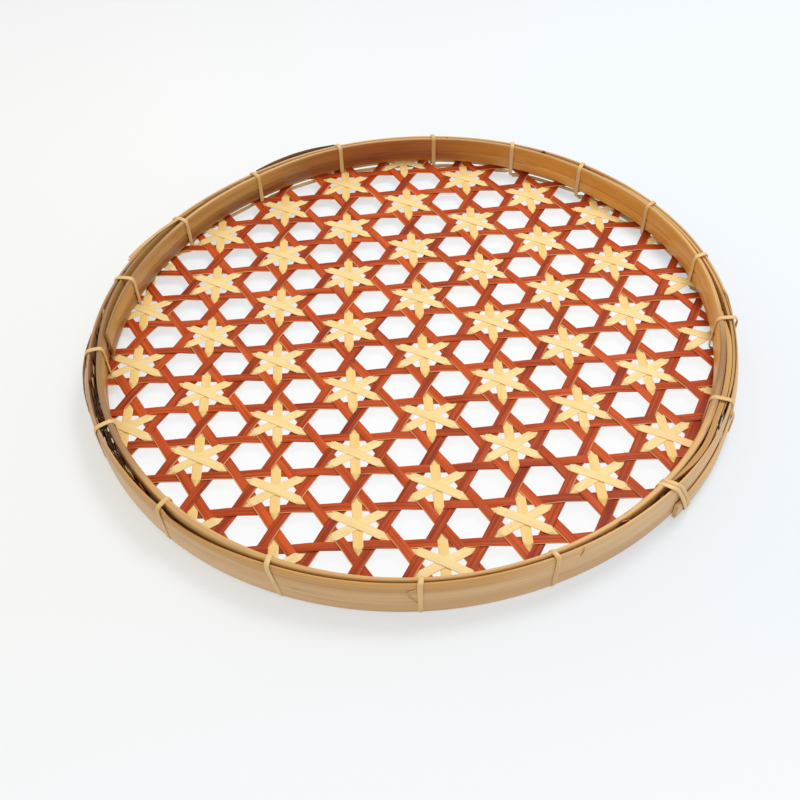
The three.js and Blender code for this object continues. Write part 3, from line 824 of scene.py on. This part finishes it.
# Ties in degrees and millimetres: where the strand crosses the inner hoop, how far it slants over
# the rim, and how far it leans on its way down outside
ties = [
    (311.2, 3.5, 12), (333, 1.5, 0), (353.6, 1.5, 0), (371.3, 1.5, 0), (389, 1.5, 0), (407.5, 1.5, 0),
    (423.8, 1.5, 0), (441.6, 1.5, 0), (463.1, 1.5, 0), (483.9, 1.5, 0), (505.1, 1.5, 0), (525.3, 1.5, 0),
    (544.8, 1.5, 0), (563, 1.5, 0), (583.4, 1.5, 2), (603.8, 1.5, 5), (627.3, -1, 0), (647.7, 1.5, -1),
    (670.3, 3.5, 12),
]
strand_outside = 200.5 * mm
strand_tuck = 0.5 * mm

# Ties over the outer hoop's lower end: how far out they come down, the height at which they step
# out over that end, and how far out they go on
steps_out = {
    0: (200.8, 13.6, 203.49), 1: (200, 16.8, 202.38), 2: (201.19, 0, 201.19), 18: (200.8, 13.5, 203.55),
}
step_slope = 4 * mm


def inner_reach(angle):
    """How far out the strand stands against the inner hoop's face, which is double at the left."""
    first = (angle - inner_start) % full_turn
    turns = [turned for turned in (first, first + full_turn) if turned < full_turn + inner_lap]
    return gap_outer_radius - max(sum(wall_depth(turned)) for turned in turns) - lashing_thickness / 2


def run_point(degrees, along, radius, height, level):
    """A point of the strand: its place, and how far its width lies level rather than upright."""
    angle = math.radians(degrees) + along * mm / tray_radius
    reach = radius + rim_offset(angle)
    outward = Vector((math.cos(angle), math.sin(angle), 0))
    place = outward * reach + Vector((rim_middle.x, rim_middle.y, height))
    tangent = Vector((-outward.y, outward.x, 0))
    return place, tangent * level + Vector((0, 0, 1 - level))


def tie_points(index):
    over, slant, lean = ties[index]
    plain = (strand_outside / mm, 0, (strand_outside - strand_tuck) / mm)
    outside, ledge, low = steps_out.get(index, plain)
    inside = inner_reach(math.radians(over))
    foot = strand_foot + lift_table.at(math.radians(over) / full_turn % 1)
    points = [
        run_point(over, 0, inside, run_level, 1),
        run_point(over, 0, inside, strand_top - strand_sink, 1),
        run_point(over, slant / 2, (inside + outside * mm) / 2, strand_top, 1),
        run_point(over, slant, outside * mm, strand_top - strand_sink, 1),
    ]
    if ledge:
        share = 1 - ledge * mm / hoop_top
        points.append(run_point(over, slant + share * lean, outside * mm, ledge * mm + step_slope, 1))
        points.append(run_point(over, slant + share * lean, low * mm, ledge * mm, 1))
    points.append(run_point(over, slant + lean, low * mm, foot, 1))
    points.append(run_point(over, slant + lean, strand_run, foot, 1))
    return points, slant + lean, foot


def smoothed(points, radius, steps):
    """The same path with each corner turned into a short arc inside it."""
    fine = [points[0]]
    for (before, _), (here, width), (after, _) in zip(points, points[1:], points[2:]):
        start = here + (before - here).normalized() * min(radius, (before - here).length / 2)
        end = here + (after - here).normalized() * min(radius, (after - here).length / 2)
        for step in range(steps + 1):
            share = step / steps
            fine.append((start * (1 - share) ** 2 + here * 2 * share * (1 - share) + end * share ** 2, width))
    return fine + [points[-1]]


lead = lashing_lead / mm
first_inside = inner_reach(math.radians(ties[0][0]))
route = [run_point(ties[0][0], 0, first_inside - lashing_tail, run_level, 1)]
for index, (over, *_) in enumerate(ties):
    if index:
        last = ties[index - 1][0]
        route.append(run_point(last, across_foot + lead / 2, strand_run, (foot + run_level) / 2, 1 / 2))
        leave = last + math.degrees((across_foot + lead) * mm / tray_radius)
        arrive = over - math.degrees(lashing_lead / tray_radius)
        parts = max(round(math.radians(arrive - leave) * strand_run / run_step), 1)
        for part in range(parts + 1):
            route.append(run_point(leave + (arrive - leave) * part / parts, 0, strand_run, run_level, 0))
        inside = inner_reach(math.radians(over))
        route.append(run_point(over, -lead / 3, (strand_run + inside) / 2, run_level, 1 / 2))
    turn, across_foot, foot = tie_points(index)
    route += turn
route.append(run_point(ties[-1][0], across_foot, gap_outer_radius - lashing_tail, strand_foot, 1))
route = smoothed(route, lashing_corner, corner_steps)

lashing_tree, given, numbers = new_tree("lashing", ["Width", "Thickness"])
path = lashing_tree.nodes.new("GeometryNodeMeshToCurve")
lashing_tree.links.new(given.outputs["Outline"], path.inputs["Mesh"])


def named_value(tree, name, kind):
    node = tree.nodes.new("GeometryNodeInputNamedAttribute")
    node.data_type = kind
    node.inputs["Name"].default_value = name
    return node.outputs["Attribute"]


flat = lashing_tree.nodes.new("GeometryNodeSetCurveNormal")
flat.mode = "FREE"
lashing_tree.links.new(path.outputs["Curve"], flat.inputs["Curve"])
lashing_tree.links.new(named_value(lashing_tree, "facing", "FLOAT_VECTOR"), flat.inputs["Normal"])
length = lashing_tree.nodes.new("GeometryNodeSplineParameter")
strand = keep_value(lashing_tree, flat.outputs["Curve"], "length", "FLOAT", length.outputs["Length"])
section = lashing_tree.nodes.new("GeometryNodeCurvePrimitiveCircle")
section.inputs["Resolution"].default_value = 12
section.inputs["Radius"].default_value = 1
here = lashing_tree.nodes.new("GeometryNodeInputPosition").outputs[0]
section_x, section_y, _ = parts_of(lashing_tree, here)
squeeze = lashing_tree.nodes.new("GeometryNodeSetPosition")
lashing_tree.links.new(section.outputs["Curve"], squeeze.inputs["Geometry"])
broad = section_x * (numbers["Width"] / 2) * (1 + crown * section_y * section_y)
deep = section_y * (numbers["Thickness"] / 2) * (1 + crown * section_x * section_x)
plug(lashing_tree, vector_of(lashing_tree, broad, deep, 0), squeeze.inputs["Position"])
cane_section = keep_value(lashing_tree, squeeze.outputs["Geometry"], "section", "FLOAT_VECTOR", here)
wind = lashing_tree.nodes.new("GeometryNodeCurveToMesh")
wind.inputs["Fill Caps"].default_value = True
lashing_tree.links.new(strand, wind.inputs["Curve"])
lashing_tree.links.new(cane_section, wind.inputs["Profile Curve"])
section_across, section_up, _ = parts_of(lashing_tree, named_value(lashing_tree, "section", "FLOAT_VECTOR"))
strand_length = Field(lashing_tree, named_value(lashing_tree, "length", "FLOAT"))
grain = vector_of(lashing_tree, strand_length, section_across, section_up).socket
end_tree(lashing_tree, given, keep_value(lashing_tree, wind.outputs["Mesh"], "grain", "FLOAT_VECTOR", grain))


def cane_material(name, light, deep, dark):
    """Split cane or bamboo fibre: a light gloss and fine lengthwise fibres."""
    material, tree, shader = new_material(name, 0.38)
    place = band_place(tree)
    drift = noise(tree, place, 25, 100, 2).smooth(0.3, 0.7)
    fibre = noise(tree, place, 60, 3200, 3)
    colour = mix(tree, drift, light, deep)
    colour = mix(tree, fibre.smooth(0.5, 0.85) * 0.5, colour, dark)
    tree.links.new(colour, shader.inputs["Base Color"])
    bump(tree, shader, fibre, 0.06 * mm)
    return material


def strands_mesh(name, routes):
    """The edges along each route, with the way the strand's width faces at each of its points."""
    mesh = bpy.data.meshes.new(name)
    points, edges, facings = [], [], []
    for route in routes:
        edges += [(len(points) + i, len(points) + i + 1) for i in range(len(route) - 1)]
        for index, (place, width) in enumerate(route):
            run = (route[min(index + 1, len(route) - 1)][0] - route[max(index - 1, 0)][0]).normalized()
            facings.append((width - run * width.dot(run)).normalized() if width.z else width)
            points.append(place)
    mesh.from_pydata(points, edges, [])
    values = mesh.attributes.new("facing", "FLOAT_VECTOR", "POINT")
    for value, facing in zip(values.data, facings):
        value.vector = facing
    return mesh


lashing_sizes = {"Width": lashing_width, "Thickness": lashing_thickness}
cane = cane_material("split_cane", linear(232, 198, 140), linear(216, 172, 108), linear(170, 120, 66))
make_piece("rim_lashing", strands_mesh("rim_lashing", [route]), lashing_tree, lashing_sizes, cane,
           "lashing")

# Loose fibres and splinters
# Slivers of skin and fibres that have come away from the hoops and the strip ends with use.
# Splinters stand off the rim at the back, left and front, and fibres tangle where the gap is widest.
# Lengths here are in millimetres and places in degrees.
tangle_seed = 5
tangle_count = 70
tangle_length = (12, 30)
tangle_rise = (-3, 4)
gap_share = (0.15, 0.85)
fibre_sizes = {"Width": 0.9 * mm, "Thickness": 0.4 * mm}
tangles = [
    {"name": "tangle_right", "from": 312, "to": 350, "heights": (10, 19),
     "slot": "bamboo_splint", "node": "rim_splint_1"},
    {"name": "tangle_left", "from": 184, "to": 222, "heights": (10, 21),
     "slot": "bamboo_hoop", "node": "inner_hoop"},
]
brown_fibre = cane_material("brown_fibre", linear(150, 108, 66), linear(104, 66, 38), linear(60, 36, 22))
chance = random.Random(tangle_seed)
for tangle in tangles:
    routes = []
    for _ in range(tangle_count):
        start = chance.uniform(tangle["from"], tangle["to"])
        stretch = math.degrees(chance.uniform(*tangle_length) * mm / tray_radius)
        height = chance.uniform(*tangle["heights"])
        rise = chance.uniform(*tangle_rise)
        fibre = []
        for step in range(3):
            degrees = start + stretch * step / 2
            gap = gap_table.at((math.radians(degrees) - inner_start) / full_turn % 1)
            radius = gap_outer_radius - gap * chance.uniform(*gap_share)
            fibre.append(run_point(degrees, 0, radius, (height + rise * step / 2) * mm, 0))
        routes.append(fibre)
    make_piece(tangle["name"], strands_mesh(tangle["name"], routes), lashing_tree, fibre_sizes,
               brown_fibre, tangle["node"])

# Each splinter's look, width and thickness, whether its width lies level round the rim rather than
# upright, and its way as degrees, how far out and how far up
splinter_bend = 6 * mm
splinter_steps = 4
splinters = {
    "skin_back": ("brown", 4.4, 0.5, 0, [
        (123, 200.2, 25.6), (119, 201, 26.4), (114, 201.6, 26.7), (109, 201.5, 26.4), (104, 200.3, 25.8)]),
    "skin_left": ("tan", 5, 0.4, 0, [
        (180, 200.1, 23), (184, 201.2, 23.4), (189, 201.7, 23.2), (194, 201.2, 22.6), (198, 200.2, 22)]),
    "splinter_left": ("gold", 0.7, 2.4, 0, [
        (159.5, 200.4, 27.6), (156, 199.4, 28.3), (150, 197.6, 28.5), (145.6, 195.6, 28.5)]),
    "splinter_left_top": ("gold", 0.6, 1.4, 0, [(160.5, 199.2, 28.1), (157, 198.6, 28.4), (151, 197.4, 28.6)]),
    "loop_front": ("gold", 0.6, 0.4, 0, [
        (266.9, 200.3, 10), (265.7, 200.8, 16), (265, 200.9, 20.5), (265.3, 200.5, 23), (266.6, 200.2, 24.5)]),
    "chip_front": ("gold", 1.4, 0.5, 1, [(292.6, 200.1, 27.6), (292.5, 200.3, 25), (292, 200.2, 22)]),
}
splinter_looks = {
    "brown": cane_material("weathered_skin", linear(138, 104, 72), linear(104, 74, 50), linear(58, 40, 28)),
    "tan": cane_material("pink_skin", linear(206, 164, 124), linear(180, 134, 96), linear(120, 80, 50)),
    "gold": cane_material("gold_splinter", linear(226, 180, 112), linear(204, 152, 80), linear(150, 100, 50)),
}
for name, (look, width, thickness, level, way) in splinters.items():
    points = [run_point(degrees, 0, out * mm, up * mm, level) for degrees, out, up in way]
    route = smoothed(points, splinter_bend, splinter_steps)
    make_piece(name, strands_mesh(name, [route]), lashing_tree,
               {"Width": width * mm, "Thickness": thickness * mm}, splinter_looks[look],
               "outer_hoop")

# Table, light and camera
# The tray lies on a white table under soft light from above and a little behind; the table's colour and glow
# carry painted light and shade.
# The camera stands where the photograph was taken from, in front of the tray and above it.
table_half = 3
shaded_reach = (0.186, 0.2)
glow_outside = 0.5
glow_under_tray = 0.38
glow_lost_at_back_left = 0.28
table_mesh = bpy.data.meshes.new("table_top")
corners = [(x * table_half, y * table_half, 0) for x, y in ((-1, -1), (1, -1), (1, 1), (-1, 1))]
table_mesh.from_pydata(corners, [], [(0, 1, 2, 3)])
table = bpy.data.objects.new("table_top", table_mesh)
bpy.context.scene.collection.objects.link(table)
table_material, table_nodes, table_shader = new_material("white_table", 0.7)
table_shader.inputs["Specular IOR Level"].default_value = 0.2
# Painted tint of light: the diffuse colour is cool and the glow warm, so the shadows on the table come out warm.
table_shader.inputs["Base Color"].default_value = linear(232, 240, 250)
on_table = table_nodes.nodes.new("ShaderNodeTexCoord").outputs["Object"]
table_x, table_y, _ = parts_of(table_nodes, on_table)
under_tray = 1 - (table_x * table_x + table_y * table_y).do("SQRT").smooth(*shaded_reach)
# Painted shade: dimmer marks the back left, where less glow leaves the shadows under the tray darker.
dimmer = (table_y * 0.8 - table_x * 0.6).smooth(0, 0.2)
# Painted light: warm at the left, cool at the right, brightest at the front and darker towards the back.
table_colour = mix(table_nodes, table_x.smooth(-0.25, 0.25), linear(255, 251, 241), linear(240, 245, 250))
table_colour = mix(table_nodes, table_y.smooth(-0.15, -0.35), table_colour, linear(255, 255, 252))
table_colour = mix(table_nodes, table_y.smooth(0.2, 0.9), table_colour, linear(232, 228, 223))
# Painted light: the table is whiter under the tray.
table_colour = mix(table_nodes, under_tray, table_colour, linear(255, 255, 255))
bright = table_nodes.nodes.new("ShaderNodeEmission")
table_nodes.links.new(table_colour, bright.inputs["Color"])
ray = table_nodes.nodes.new("ShaderNodeLightPath")
seen = Field(table_nodes, ray.outputs["Is Camera Ray"]) + Field(table_nodes, ray.outputs["Is Glossy Ray"])
seen = (seen + Field(table_nodes, ray.outputs["Is Transmission Ray"])).do("MINIMUM", 1)
# Painted light: the glow to the camera is stronger under the tray, which lightens the tray's shadow there;
# painted shade: it is weaker towards the back left.
seen = seen * (under_tray * (glow_under_tray - glow_lost_at_back_left * dimmer) + glow_outside)
table_look = table_nodes.nodes.new("ShaderNodeMixShader")
plug(table_nodes, seen, table_look.inputs["Fac"])
table_nodes.links.new(table_shader.outputs["BSDF"], table_look.inputs[1])
table_nodes.links.new(bright.outputs["Emission"], table_look.inputs[2])
table_nodes.links.new(table_look.outputs["Shader"], table_nodes.nodes["Material Output"].inputs["Surface"])
table_mesh.materials.append(table_material)

world = bpy.data.worlds.new("studio")
bpy.context.scene.world = world
world.use_nodes = True
sky = world.node_tree.nodes["Background"]
sky.inputs["Color"].default_value = linear(255, 253, 250)
sky.inputs["Strength"].default_value = 0.8


def aimed(name, held, place, target, roll=0):
    """A lamp or a camera that stands at one place and looks at another."""
    holder = bpy.data.objects.new(name, held)
    bpy.context.scene.collection.objects.link(holder)
    holder.location = place
    holder.rotation_mode = "QUATERNION"
    aim = (target - place).to_track_quat("-Z", "Y")
    holder.rotation_quaternion = aim @ Quaternion((0, 0, 1), roll)
    return holder


lamp = bpy.data.lights.new("overhead", "AREA")
lamp.shape = "DISK"
lamp.size = 0.6
lamp.energy = 10
lamp.color = linear(255, 252, 246)[:3]
aimed("overhead", lamp, Vector((0.5, 0.5, 1.45)), Vector((0, 0, 0)))

camera_place = Vector((-0.02371, -0.44415, 0.44335))
camera_target = Vector((-0.01088, -0.05491, 0.007))
camera_roll = math.radians(-1.95)
image_size = 800
focal_pixels = 961.1
camera = bpy.data.cameras.new("camera")
camera.sensor_width = 36
camera.lens = focal_pixels * camera.sensor_width / image_size
camera.clip_start = 0.01
bpy.context.scene.camera = aimed("camera", camera, camera_place, camera_target, camera_roll)
bpy.context.scene.view_settings.view_transform = "Standard"
